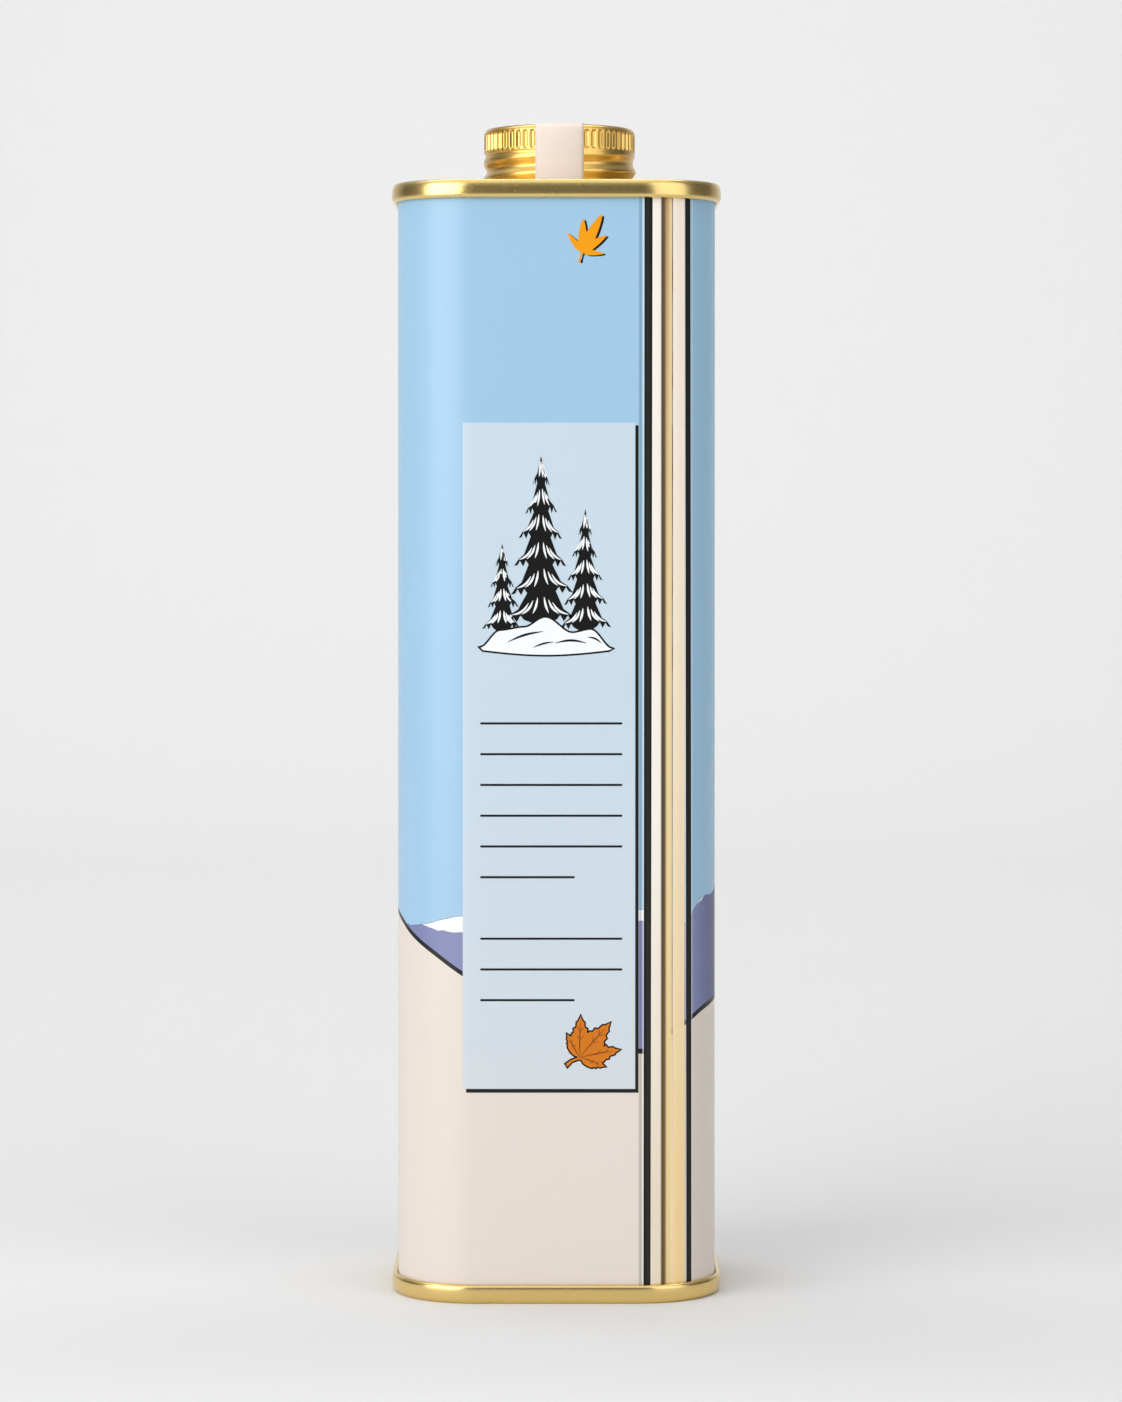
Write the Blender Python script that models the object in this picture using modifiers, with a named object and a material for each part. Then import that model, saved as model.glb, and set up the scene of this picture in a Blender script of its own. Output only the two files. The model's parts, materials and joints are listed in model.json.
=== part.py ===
"""A tall, slim syrup tin with round corners, standing shut.

A sheet-metal body is closed at the top and the bottom by an end whose seam stands out round it as a
rim. A rolled metal screw cap stands on the neck, a little to the right of the middle of the top end. A
paper seal runs over the cap and down to the lid at the front and the back.

Frame: metres, +Z up, origin in the middle of the base. The widest side, with the label, faces -Y, and
the side seam runs up the round corner between -Y and +X. The tin can't be seen into, so its body is
solid.
"""

import math

import bmesh
import bpy

MM = 0.001

# Body: the drawn sheet between the two rims
BODY_WIDTH = 58.2 * MM
BODY_DEPTH = 50.1 * MM
BODY_CORNER = 14.2 * MM
TIN_HEIGHT = 203.1 * MM  # from the base to the top of the upper rim

# Side seam: two edges of the sheet lapped and welded on the corner between -Y and +X
LAP_WIDTH = 2.0 * MM
LAP_THICKNESS = 0.15 * MM
LAP_ARC = 5.1 * MM  # from the end of the flat front, round the corner, to the middle of the lap

# Ends: each one is a pressed panel with the seam rolled round it
RIM_OVERHANG = 1.1 * MM
RIM_HEIGHT = 3.4 * MM
RIM_THICKNESS = 2.2 * MM
RIM_ROUND = 0.8 * MM
RIM_GRIP = 0.3 * MM  # how far the body reaches in behind each rim
PANEL_THICKNESS = 0.6 * MM

# Neck and screw cap
NECK_RADIUS = 12.4 * MM
NECK_OFFSET = 0.55 * MM  # the neck, with the cap and the seal, stands this far from the middle towards +X
CAP_RADIUS = 14.0 * MM
CAP_BOTTOM = 202.2 * MM
CAP_TOP = 214.1 * MM
CAP_SHOULDER = 1.1 * MM
KNURL_BOTTOM = 209.6 * MM
KNURL_END = 0.4 * MM  # length over which a flute runs out
FLUTE_COUNT = 60
FLUTE_DEPTH = 0.4 * MM
THREAD_PITCH = 3.175 * MM
THREAD_CREST = 206.15 * MM  # height of the rolled thread's crest on the +X side
THREAD_HEIGHT = 0.4 * MM  # crest and groove depart this far from the cap's wall
THREAD_FADE = 0.9 * MM
THREAD_RINGS = 18

# Paper seal
SEAL_WIDTH = 8.9 * MM
SEAL_THICKNESS = 0.3 * MM
SEAL_FOOT = 4.5 * MM
SEAL_BEND = 0.8 * MM

GAP = 0.3 * MM  # between neighbouring solids
PAST = 5.0 * MM  # how far a cutter runs out past the face that it opens
CORNER_STEPS = 12
NECK_STEPS = 48
ROUND_STEPS = 3
BEND_STEPS = 4
SMOOTH_ANGLE = math.radians(35)

PANEL_TOP = TIN_HEIGHT - RIM_HEIGHT + RIM_GRIP + GAP + PANEL_THICKNESS

BLUE_PAINT = ("blue_print", (0.36, 0.59, 0.80), 0.32, 0.0)
GOLD_LACQUER = ("gold_lacquer", (0.66, 0.48, 0.19), 0.28, 1.0)
CAP_GOLD = ("cap_gold", (0.70, 0.51, 0.20), 0.34, 1.0)
SEAL_PAPER = ("seal_paper", (0.80, 0.71, 0.64), 0.60, 0.0)


def clear_scene():
    for obj in list(bpy.data.objects):
        bpy.data.objects.remove(obj, do_unlink=True)


def make_collection(name):
    collection = bpy.data.collections.new(name)
    bpy.context.scene.collection.children.link(collection)
    return collection


def make_material(name, colour, roughness, metallic):
    material = bpy.data.materials.new(name)
    material.use_nodes = True
    shader = material.node_tree.nodes["Principled BSDF"]
    shader.inputs["Base Color"].default_value = (*colour, 1.0)
    shader.inputs["Roughness"].default_value = roughness
    shader.inputs["Metallic"].default_value = metallic
    return material


def make_object(name, bm, collection, finish=None):
    """Turn a bmesh into an object of the collection, with its material if it has one."""
    mesh = bpy.data.meshes.new(name)
    bmesh.ops.recalc_face_normals(bm, faces=bm.faces)
    bm.to_mesh(mesh)
    bm.free()
    mesh.shade_smooth()
    mesh.set_sharp_from_angle(angle=SMOOTH_ANGLE)
    obj = bpy.data.objects.new(name, mesh)
    collection.objects.link(obj)
    if finish:
        mesh.materials.append(make_material(*finish))
    else:
        obj.hide_render = True
        obj.display_type = "WIRE"
    return obj


def combine(target, tool, operation):
    modifier = target.modifiers.new(f"{operation.lower()} {tool.name}", "BOOLEAN")
    modifier.operation = operation
    modifier.solver = "EXACT"
    modifier.object = tool


def rounded_block(width, depth, corner, bottom, top, edge_round=0.0):
    """A box with round upright corners, and rounded top and bottom edges if asked for."""
    bm = bmesh.new()
    bmesh.ops.create_cube(bm, size=1.0)
    bmesh.ops.scale(bm, vec=(width, depth, top - bottom), verts=bm.verts)
    bmesh.ops.translate(bm, vec=(0, 0, (top + bottom) / 2), verts=bm.verts)
    upright = [e for e in bm.edges if abs(e.verts[0].co.z - e.verts[1].co.z) > (top - bottom) / 2]
    bmesh.ops.bevel(bm, geom=upright, offset=corner, segments=CORNER_STEPS, profile=0.5, affect="EDGES")
    if edge_round:
        bm.normal_update()
        outline = [e for e in bm.edges if any(abs(f.normal.z) > 0.9 for f in e.link_faces)]
        bmesh.ops.bevel(
            bm, geom=outline, offset=edge_round, segments=ROUND_STEPS, profile=0.5, affect="EDGES"
        )
    return bm


def inset_block(inset, bottom, top):
    """A block with the body's outline taken in by the inset, or let out where it is negative."""
    return rounded_block(
        BODY_WIDTH - 2 * inset, BODY_DEPTH - 2 * inset, BODY_CORNER - inset, bottom, top
    )


def turned(profile, steps):
    """Turn (radius, height) pairs about Z. The first and the last pair lie on the axis."""
    bm = bmesh.new()
    chain = [bm.verts.new((radius, 0, height)) for radius, height in profile]
    edges = [bm.edges.new(pair) for pair in zip(chain, chain[1:])]
    bmesh.ops.spin(
        bm, geom=chain + edges, cent=(0, 0, 0), axis=(0, 0, 1), angle=2 * math.pi, steps=steps
    )
    bmesh.ops.remove_doubles(bm, verts=bm.verts, dist=0.001 * MM)
    return bm


def arc(centre, radius, start, end, steps):
    """Points of an arc in a plane, as pairs, with the angles in degrees."""
    points = []
    for step in range(steps + 1):
        angle = math.radians(start + (end - start) * step / steps)
        points.append((centre[0] + radius * math.cos(angle), centre[1] + radius * math.sin(angle)))
    return points


def build_body(parts, cutters):
    """The solid body, with the lap of its side seam standing up on the front right corner."""
    bottom = RIM_HEIGHT - RIM_GRIP
    body = make_object("tin_body", inset_block(0, bottom, TIN_HEIGHT - bottom), parts, BLUE_PAINT)

    lap = bmesh.new()
    bmesh.ops.create_cube(lap, size=1.0)
    lap_bottom = RIM_HEIGHT + GAP
    lap_height = TIN_HEIGHT - 2 * lap_bottom
    sunk = 2 * LAP_THICKNESS  # the lap's block reaches this far into the body
    bmesh.ops.scale(lap, vec=(LAP_WIDTH, LAP_THICKNESS + sunk, lap_height), verts=lap.verts)
    lap_block = make_object("side_seam_lap", lap, cutters)
    turn = LAP_ARC / BODY_CORNER
    reach = BODY_CORNER + (LAP_THICKNESS - sunk) / 2
    lap_block.location = (
        BODY_WIDTH / 2 - BODY_CORNER + reach * math.sin(turn),
        -(BODY_DEPTH / 2 - BODY_CORNER) - reach * math.cos(turn),
        lap_bottom + lap_height / 2,
    )
    lap_block.rotation_euler.z = turn
    combine(body, lap_block, "UNION")


def build_end(name, upside_down, parts, cutters):
    """One end: a rim round a thin panel, with the body's pocket on one side and a recess on the other.

    It is made as the top end. The bottom end is the same shape turned over, without the neck.
    """
    bottom = TIN_HEIGHT - RIM_HEIGHT
    rim = rounded_block(
        BODY_WIDTH + 2 * RIM_OVERHANG,
        BODY_DEPTH + 2 * RIM_OVERHANG,
        BODY_CORNER + RIM_OVERHANG,
        bottom,
        TIN_HEIGHT,
        RIM_ROUND,
    )
    pocket = inset_block(-GAP, bottom - PAST, bottom + RIM_GRIP + GAP)
    recess = inset_block(RIM_THICKNESS - RIM_OVERHANG, PANEL_TOP, TIN_HEIGHT + PAST)
    shapes = [rim, pocket, recess]
    if upside_down:
        for bm in shapes:
            bmesh.ops.scale(bm, vec=(1, 1, -1), verts=bm.verts)
            bmesh.ops.translate(bm, vec=(0, 0, TIN_HEIGHT), verts=bm.verts)
    end = make_object(name, rim, parts, GOLD_LACQUER)
    combine(end, make_object(f"{name}_pocket", pocket, cutters), "DIFFERENCE")
    combine(end, make_object(f"{name}_recess", recess, cutters), "DIFFERENCE")
    return end


def build_neck(top_end, cutters):
    """The short round neck under the cap, fused to the top end's panel."""
    top = CAP_BOTTOM - GAP
    root = PANEL_TOP - PANEL_THICKNESS / 2
    neck = turned([(0, top), (NECK_RADIUS, top), (NECK_RADIUS, root), (0, root)], NECK_STEPS)
    bmesh.ops.translate(neck, vec=(NECK_OFFSET, 0, 0), verts=neck.verts)
    combine(top_end, make_object("neck_stub", neck, cutters), "UNION")


def cap_profile():
    """The cap's outline from the middle of its top down to the middle of its underside."""
    shoulder = (CAP_RADIUS - CAP_SHOULDER, CAP_TOP - CAP_SHOULDER)
    profile = [(0, CAP_TOP)]
    profile += reversed(arc(shoulder, CAP_SHOULDER, 0, 90, BEND_STEPS))
    knurl_top = CAP_TOP - CAP_SHOULDER
    profile += [
        (CAP_RADIUS, knurl_top - KNURL_END),
        (CAP_RADIUS, KNURL_BOTTOM + KNURL_END),
        (CAP_RADIUS, KNURL_BOTTOM),
    ]
    for ring in range(1, THREAD_RINGS + 1):
        height = KNURL_BOTTOM + (CAP_BOTTOM - KNURL_BOTTOM) * ring / THREAD_RINGS
        profile.append((CAP_RADIUS, height))
    profile.append((0, CAP_BOTTOM))
    return profile


def cap_relief(angle, height):
    """How far the cap's wall stands out at this place: flutes above, the rolled thread below."""
    flutes_from = KNURL_BOTTOM + KNURL_END / 2
    flutes_to = CAP_TOP - CAP_SHOULDER - KNURL_END / 2
    if flutes_from < height < flutes_to:
        return -FLUTE_DEPTH * (1 - math.cos(FLUTE_COUNT * angle)) / 2
    if height > KNURL_BOTTOM:
        return 0.0
    crest = THREAD_CREST + THREAD_PITCH * angle / (2 * math.pi)
    wave = math.cos(2 * math.pi * (height - crest) / THREAD_PITCH)
    fade = min(1.0, (KNURL_BOTTOM - height) / THREAD_FADE, (height - CAP_BOTTOM) / THREAD_FADE)
    return THREAD_HEIGHT * wave * fade


def build_cap(parts):
    """The metal cap: a turned solid whose wall is moved in and out for the flutes and the thread."""
    cap = turned(cap_profile(), 2 * FLUTE_COUNT)
    for vert in cap.verts:
        radius = math.hypot(vert.co.x, vert.co.y)
        if radius > CAP_RADIUS - GAP:
            relief = cap_relief(math.atan2(vert.co.y, vert.co.x), vert.co.z)
            vert.co.x *= 1 + relief / radius
            vert.co.y *= 1 + relief / radius
    bmesh.ops.translate(cap, vec=(NECK_OFFSET, 0, 0), verts=cap.verts)
    make_object("screw_cap", cap, parts, CAP_GOLD)


def build_seal(parts):
    """The paper strip over the cap, an open surface along a bent path with Solidify round it."""
    half = SEAL_THICKNESS / 2
    side = CAP_RADIUS + THREAD_HEIGHT + GAP + half
    top = CAP_TOP + GAP + half
    foot = PANEL_TOP + GAP + half
    over = CAP_SHOULDER + GAP + half
    half_path = [(side + SEAL_FOOT, foot)]
    half_path += reversed(arc((side + SEAL_BEND, foot + SEAL_BEND), SEAL_BEND, 180, 270, BEND_STEPS))
    half_path += arc((side - over, top - over), over, 0, 90, BEND_STEPS)
    path = [(-y, z) for y, z in half_path] + [(y, z) for y, z in reversed(half_path)]

    strip = bmesh.new()
    chain = [strip.verts.new((NECK_OFFSET - SEAL_WIDTH / 2, y, z)) for y, z in path]
    edges = [strip.edges.new(pair) for pair in zip(chain, chain[1:])]
    swept = bmesh.ops.extrude_edge_only(strip, edges=edges)["geom"]
    moved = [item for item in swept if isinstance(item, bmesh.types.BMVert)]
    bmesh.ops.translate(strip, vec=(SEAL_WIDTH, 0, 0), verts=moved)
    seal = make_object("seal_strip", strip, parts, SEAL_PAPER)
    sheet = seal.modifiers.new("paper thickness", "SOLIDIFY")
    sheet.thickness = SEAL_THICKNESS
    sheet.offset = 0.0


def main():
    clear_scene()
    parts = make_collection("syrup_tin")
    cutters = make_collection("cutters")
    build_body(parts, cutters)
    build_end("bottom_end", True, parts, cutters)
    top_end = build_end("top_end", False, parts, cutters)
    build_neck(top_end, cutters)
    build_cap(parts)
    build_seal(parts)


main()
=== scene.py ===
# %% [markdown]
# # A tall syrup tin under studio light
# The tin's solids are already made and fixed in place. This notebook dresses them: it builds finer
# shapes over the plain solids, prints the sheet, lacquers the metal, and sets the light and the camera.
# All shapes are worked out in millimetres and turned into metres when a mesh is made.

import json
import math
import random

import bpy
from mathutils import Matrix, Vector

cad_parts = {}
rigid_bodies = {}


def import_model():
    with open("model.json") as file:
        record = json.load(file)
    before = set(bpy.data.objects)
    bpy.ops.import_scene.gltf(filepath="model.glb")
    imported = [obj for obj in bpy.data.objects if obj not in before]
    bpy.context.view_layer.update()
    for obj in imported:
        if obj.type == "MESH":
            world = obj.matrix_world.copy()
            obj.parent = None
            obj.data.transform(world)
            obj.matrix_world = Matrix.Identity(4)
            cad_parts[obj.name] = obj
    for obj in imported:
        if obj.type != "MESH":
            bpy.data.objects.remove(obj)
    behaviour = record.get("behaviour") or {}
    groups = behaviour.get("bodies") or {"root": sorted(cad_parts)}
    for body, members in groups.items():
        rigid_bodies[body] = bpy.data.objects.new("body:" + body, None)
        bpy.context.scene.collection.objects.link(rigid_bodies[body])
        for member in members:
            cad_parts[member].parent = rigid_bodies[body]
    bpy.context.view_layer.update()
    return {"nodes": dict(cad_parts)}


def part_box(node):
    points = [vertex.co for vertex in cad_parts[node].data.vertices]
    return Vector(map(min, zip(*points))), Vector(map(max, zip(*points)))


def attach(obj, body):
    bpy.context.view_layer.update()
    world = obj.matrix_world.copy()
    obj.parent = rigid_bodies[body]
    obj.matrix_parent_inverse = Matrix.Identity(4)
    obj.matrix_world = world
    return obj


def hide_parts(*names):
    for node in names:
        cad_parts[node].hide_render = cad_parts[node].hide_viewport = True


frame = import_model()
MM = 0.001
print("solids:", sorted(frame["nodes"]))

# %% [markdown]
# ## The sheet
# The body of such a tin is one flat sheet of tinplate, printed while it is flat, then bent round and
# welded into a tube. So the handiest measure on it is the one the printer uses: how far round the sheet
# a place is, and how high. Here s is that distance in millimetres from the middle of the front, growing
# to the right, and every part that follows the tin's outline is made with one function of s.

# %% Measure the outline
body_low, body_high = (Vector(corner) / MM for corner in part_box("tin_body"))
HALF_WIDTH, HALF_DEPTH = body_high.x, body_high.y
RIM_HEIGHT = 3.4
TIN_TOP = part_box("top_end")[0][2] / MM + RIM_HEIGHT
CORNER = 14.2
FLAT_X, FLAT_Y = HALF_WIDTH - CORNER, HALF_DEPTH - CORNER
ARC = math.pi / 2 * CORNER
AROUND = 4 * (FLAT_X + FLAT_Y + ARC)
SEAM = FLAT_X + 6.13  # where the sheet's two edges meet, on the front right corner


def sheet_point(s, out=0.0):
    """The (x, y) place at distance s round the outline, moved outwards by out."""
    s = (s + FLAT_X) % AROUND
    quarter = 0
    flat, half = 2 * FLAT_X, HALF_DEPTH
    while s > flat + ARC:
        s -= flat + ARC
        quarter += 1
        flat, half = (2 * FLAT_X, HALF_DEPTH) if quarter % 2 == 0 else (2 * FLAT_Y, HALF_WIDTH)
    turn = max(0.0, s - flat) / CORNER
    x = min(s, flat) - flat / 2 + (CORNER + out) * math.sin(turn)
    y = -(half - CORNER) - (CORNER + out) * math.cos(turn)
    heading = quarter * math.pi / 2
    return (
        x * math.cos(heading) - y * math.sin(heading),
        x * math.sin(heading) + y * math.cos(heading),
    )


def stations(corner_steps, flat_steps, extra=()):
    """Distances round the sheet from its seam edge: close on the corners, wider on the flats."""
    marks = set(extra)
    start = -FLAT_X
    for flat in (2 * FLAT_X, 2 * FLAT_Y, 2 * FLAT_X, 2 * FLAT_Y):
        marks.update(start + flat * step / flat_steps for step in range(flat_steps))
        marks.update(start + flat + ARC * step / corner_steps for step in range(corner_steps))
        start += flat + ARC
    turned = {round(SEAM + (mark - SEAM) % AROUND, 4) for mark in marks}
    return sorted(turned)


print(f"outline {2 * HALF_WIDTH:.1f} x {2 * HALF_DEPTH:.1f} mm, {AROUND:.1f} mm round, top {TIN_TOP:.1f} mm")

# %% [markdown]
# ## A loft
# Body, rims and lids are all stacks of rings round the same outline. One function joins such rings into
# a skin. A spun profile would only do for round things, and this tin isn't round.


# %% Join rings into a skin
def make_piece(name, points, faces, slot, smooth_angle=40):
    """A mesh piece in metres from points in millimetres, riding on the tin."""
    mesh = bpy.data.meshes.new(name)
    mesh.from_pydata([[c * MM for c in point] for point in points], [], faces)
    mesh.shade_smooth()
    mesh.set_sharp_from_angle(angle=math.radians(smooth_angle))
    piece = bpy.data.objects.new(name, mesh)
    bpy.context.scene.collection.objects.link(piece)
    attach(piece, "root")
    return piece


def skin(rings, start_cap=True, end_cap=True):
    """Points and faces of a closed skin over rings that all have the same number of points."""
    count = len(rings[0])
    points = [point for ring in rings for point in ring]
    faces = []
    for level in range(len(rings) - 1):
        for step in range(count):
            a = level * count + step
            b = level * count + (step + 1) % count
            faces.append((a, b, b + count, a + count))
    if start_cap:
        faces.append(tuple(reversed(range(count))))
    if end_cap:
        faces.append(tuple(range((len(rings) - 1) * count, len(rings) * count)))
    return points, faces


def outline_ring(marks, out, z):
    return [(*sheet_point(s, out), z) for s in marks]


def arc(centre, radius, start, end, steps, height=None):
    """Points of an arc as pairs, with the angles in degrees; a height makes it part of an ellipse."""
    points = []
    for step in range(steps + 1):
        angle = math.radians(start + (end - start) * step / steps)
        rise = (height or radius) * math.sin(angle)
        points.append((centre[0] + radius * math.cos(angle), centre[1] + rise))
    return points


# %% [markdown]
# ## The body
# The sheet is bent round and its two edges are lapped and welded. The printer keeps ink off both edges,
# because the weld needs bare metal, so the seam shows as a gold strip in a shallow groove, with the
# upper edge of the sheet standing up on its right. That relief is a tenth of a millimetre or so, but it
# runs the tin's whole height and catches the light, so it is in the mesh and not only in the paint.
# The mesh also gets a map that gives each point its place on the flat sheet, for the print.

# %% Body
GROOVE_START, GROOVE_END = SEAM - 2.1, SEAM
GROOVE_DEPTH, LAP_STEP, LAP_RUN = 0.12, 0.13, 2.6
LAP_EDGE = 0.12  # the lap rises to its full height over this distance
SEAM_SPAN, SEAM_PITCH = 5.0, 0.15  # the columns stand closer along this much of the sheet
WALL_SHARE = 0.9  # of the bake map's height; the hidden ends lie above it
BOTTOM_SPOT, TOP_SPOT, SPOT_UP = 0.1, 0.3, 0.95


def seam_relief(s):
    """How far the sheet stands out near its seam."""
    if GROOVE_START < s <= GROOVE_END:
        across = (s - GROOVE_START) / (GROOVE_END - GROOVE_START)
        return -GROOVE_DEPTH * math.sin(math.pi * across) ** 0.8
    if GROOVE_END < s < GROOVE_END + LAP_RUN:
        across = (s - GROOVE_END) / LAP_RUN
        return LAP_STEP * min(1.0, across * LAP_RUN / LAP_EDGE) * (0.5 + 0.5 * math.cos(math.pi * across))
    return 0.0


def map_sheet(piece, marks, levels):
    """The flat sheet's map for the print, and the same with the hidden ends set apart for baking."""
    sheet_map = piece.data.uv_layers.new(name="sheet")
    bake_map = piece.data.uv_layers.new(name="OFBake")
    count = len(marks)
    for face in piece.data.polygons:
        is_wall = len(face.vertices) == 4
        wraps = is_wall and {v % count for v in face.vertices} == {0, count - 1}
        spot = BOTTOM_SPOT if face.center.z < body_high.z * MM / 2 else TOP_SPOT
        for loop in face.loop_indices:
            vertex = piece.data.loops[loop].vertex_index
            column = vertex % count
            around = 1.0 if wraps and column == 0 else (marks[column] - SEAM) / AROUND
            up = (vertex // count) / (levels - 1)
            sheet_map.data[loop].uv = (around, up)
            if is_wall:
                bake_map.data[loop].uv = (around, up * WALL_SHARE)
            else:
                x, y, _ = piece.data.vertices[vertex].co
                bake_map.data[loop].uv = (spot + x, SPOT_UP + y)


def build_body():
    near_seam = [GROOVE_START + SEAM_PITCH * step for step in range(int(SEAM_SPAN / SEAM_PITCH))]
    near_seam += [SEAM + LAP_EDGE / 2, SEAM + LAP_EDGE]
    marks = stations(30, 6, near_seam)
    bottom, top = body_low.z, body_high.z
    levels = [bottom + (top - bottom) * step / 20 for step in range(21)]
    rings = []
    for z in levels:
        ring = []
        for s in marks:
            near = s if s - SEAM < AROUND / 2 else s - AROUND
            ring.append((*sheet_point(s, seam_relief(near)), z))
        rings.append(ring)
    piece = make_piece("printed_body", *skin(rings), "printed_tinplate", 50)
    map_sheet(piece, marks, len(levels))
    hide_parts("tin_body")
    print("body:", len(marks), "columns,", len(piece.data.polygons), "faces")
    return piece


body = build_body()

# %% [markdown]
# ## The ends
# Each end is a pressed panel whose edge is rolled together with the sheet's edge into a double seam.
# The seam's section is what the eye follows along the rim: a soft roll above, a nearly straight wall
# with a slight belly, a soft roll below, and a steep wall inside that drops to the panel. A list of
# (out, height) pairs draws that section once, and the loft carries it round the tin. The bottom end is
# the same section upside down. The bead and the step pressed into the panel stiffen the real one.

# %% Top and bottom end
RIM_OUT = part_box("top_end")[1][0] / MM - HALF_WIDTH
RIM_BACK = RIM_OUT - 2.2
PANEL_DROP = 2.2
TOP_ROLL, ROLL_DEPTH, FOOT_ROLL, INNER_ROLL = 1.75, 0.8, 0.75, 0.7
BELLY = 0.02
INNER_FILLET = 0.45
TUCK = 0.3  # how far the rim's first ring stands up inside its open end
PANEL_RUN, PANEL_STEPS = 5.0, 24
BEAD_AT, BEAD_WIDTH, BEAD_HEIGHT = 1.6, 0.5, 0.35
FIELD_AT, FIELD_HEIGHT, FIELD_SLOPE = 3.6, 0.25, 6


def rim_section():
    """The seam's section from the body up and over to the panel; height 0 is the rim's open end."""
    wall_low, wall_high = -RIM_HEIGHT + FOOT_ROLL, -TOP_ROLL
    section = [(0.02, -RIM_HEIGHT + 0.45), (0.16, -RIM_HEIGHT + 0.14)]
    section += arc((RIM_OUT - FOOT_ROLL, wall_low), FOOT_ROLL, -90, 0, 7)
    for step in range(1, 6):
        rise = step / 6
        section.append((RIM_OUT + BELLY * math.sin(math.pi * rise), wall_low + (wall_high - wall_low) * rise))
    section += arc((RIM_OUT - ROLL_DEPTH, wall_high), ROLL_DEPTH, 0, 90, 12, TOP_ROLL)
    section += arc((RIM_BACK + INNER_ROLL, -INNER_ROLL), INNER_ROLL, 90, 180, 7)
    section += arc((RIM_BACK - INNER_FILLET, -PANEL_DROP + INNER_FILLET), INNER_FILLET, 0, -90, 5)
    return section


def panel_section():
    """The panel inside the rim: a flat, a raised bead, and a middle field a little above the flat."""
    edge = RIM_BACK - INNER_FILLET
    section = []
    for step in range(1, PANEL_STEPS + 1):
        inward = PANEL_RUN * step / PANEL_STEPS
        bead = BEAD_HEIGHT * math.exp(-(((inward - BEAD_AT) / BEAD_WIDTH) ** 2))
        field = FIELD_HEIGHT / (1 + math.exp(-(inward - FIELD_AT) * FIELD_SLOPE))
        section.append((edge - inward, -PANEL_DROP + (bead + field)))
    return section


def end_rings(marks, upside_down):
    section = rim_section() + panel_section()
    start_out, start_height = section[0]
    rings = []
    for out, height in [(start_out, start_height + TUCK)] + section:
        z = -height if upside_down else TIN_TOP + height
        rings.append(outline_ring(marks, out, z))
    if upside_down:
        rings = [list(reversed(ring)) for ring in rings]
    print("end section:", len(rings), "rings")
    return rings


def build_ends():
    marks = stations(24, 5)
    ends = []
    for name, upside_down, node in (("lid_end", False, "top_end"), ("foot_end", True, "bottom_end")):
        points, faces = skin(end_rings(marks, upside_down))
        piece = make_piece(name, points, faces, "gold_lacquer", 60)
        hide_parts(node)
        ends.append(piece)
    return ends


lid_end, foot_end = build_ends()

# %% [markdown]
# ## The neck
# Under the cap the lid rises in a low round boss and a rolled neck. Little of it shows below the cap,
# but from above the boss gathers the light round the cap. It is turned from one profile.


# %% Neck
CAP_LOW, CAP_HIGH = (Vector(corner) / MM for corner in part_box("screw_cap"))
CAP_RADIUS = 14.0
NECK_X = (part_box("seal_strip")[0][0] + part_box("seal_strip")[1][0]) / 2 / MM  # just right of the middle
BOSS_RADIUS, BOSS_RUN, BOSS_HEIGHT = 16.5, 1.3, 0.55


def turned(profile, steps, relief=None):
    """Rings of (radius, height) pairs turned about the neck's axis; relief moves the wall in or out."""
    rings = []
    for radius, height in profile:
        ring = []
        for step in range(steps):
            angle = 2 * math.pi * step / steps
            reach = radius + relief(radius, angle, height) if relief else radius
            ring.append((NECK_X + reach * math.cos(angle), reach * math.sin(angle), height))
        rings.append(ring)
    return rings


def build_neck():
    floor = TIN_TOP - PANEL_DROP + 0.2
    profile = [(BOSS_RADIUS + 0.1, floor - 0.15), (BOSS_RADIUS, floor + 0.1)]
    for share in (0.2, 0.4, 0.6, 0.8, 1):
        rise = BOSS_HEIGHT * math.sin(math.pi / 2 * share)
        profile.append((BOSS_RADIUS - BOSS_RUN * share, floor + 0.1 + rise))
    profile += [(13.6, floor + 0.62), (13.2, floor + 0.7), (13.0, floor + 0.95), (12.9, floor + 1.6)]
    piece = make_piece("neck_ring", *skin(turned(profile, 128)), "gold_lacquer", 60)
    print("neck:", len(piece.data.polygons), "faces")
    return piece


neck = build_neck()

# %% [markdown]
# ## The cap
# A rolled aluminium cap starts as a smooth shell. A roller presses upright flutes into its upper part,
# for grip, and the bottle's own thread shapes its lower part. Both can be written as one height field
# over the cap's wall: each flute is a dent with round ends, measured as the distance to a short upright
# line, and the thread is a wave whose crest climbs one pitch in a turn.

# %% Screw cap
CAP_TOP, CAP_BOTTOM = CAP_HIGH.z, CAP_LOW.z
SHOULDER = 1.1
FLUTES, FLUTE_HALF, FLUTE_DEPTH = 60, 0.46, 0.42
FLUTE_LOW, FLUTE_HIGH = 209.7, 213.15
PITCH, CREST = 3.175, 206.15  # the crest's height on the right
WAVE_UPPER, WAVE_MORE, WAVE_MEAN = 0.22, 0.14, 0.12
WAVE_TOP, WAVE_GROWS = 207.6, 1.5  # below this height the wave deepens, over that distance
WALL_ROWS, COLUMNS_PER_FLUTE = 104, 10


def flute_dent(angle, z):
    """Depth of the nearest flute at this place on the cap's wall."""
    pitch = 2 * math.pi / FLUTES
    off = (angle / pitch - math.floor(angle / pitch) - 0.5) * pitch * CAP_RADIUS
    middle, half = (FLUTE_LOW + FLUTE_HIGH) / 2, (FLUTE_HIGH - FLUTE_LOW) / 2 - FLUTE_HALF
    away = math.hypot(off, max(abs(z - middle) - half, 0.0)) / FLUTE_HALF
    if away >= 1:
        return 0.0
    return FLUTE_DEPTH * min(1.0, 1.5 * (1 - away**2))


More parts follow.
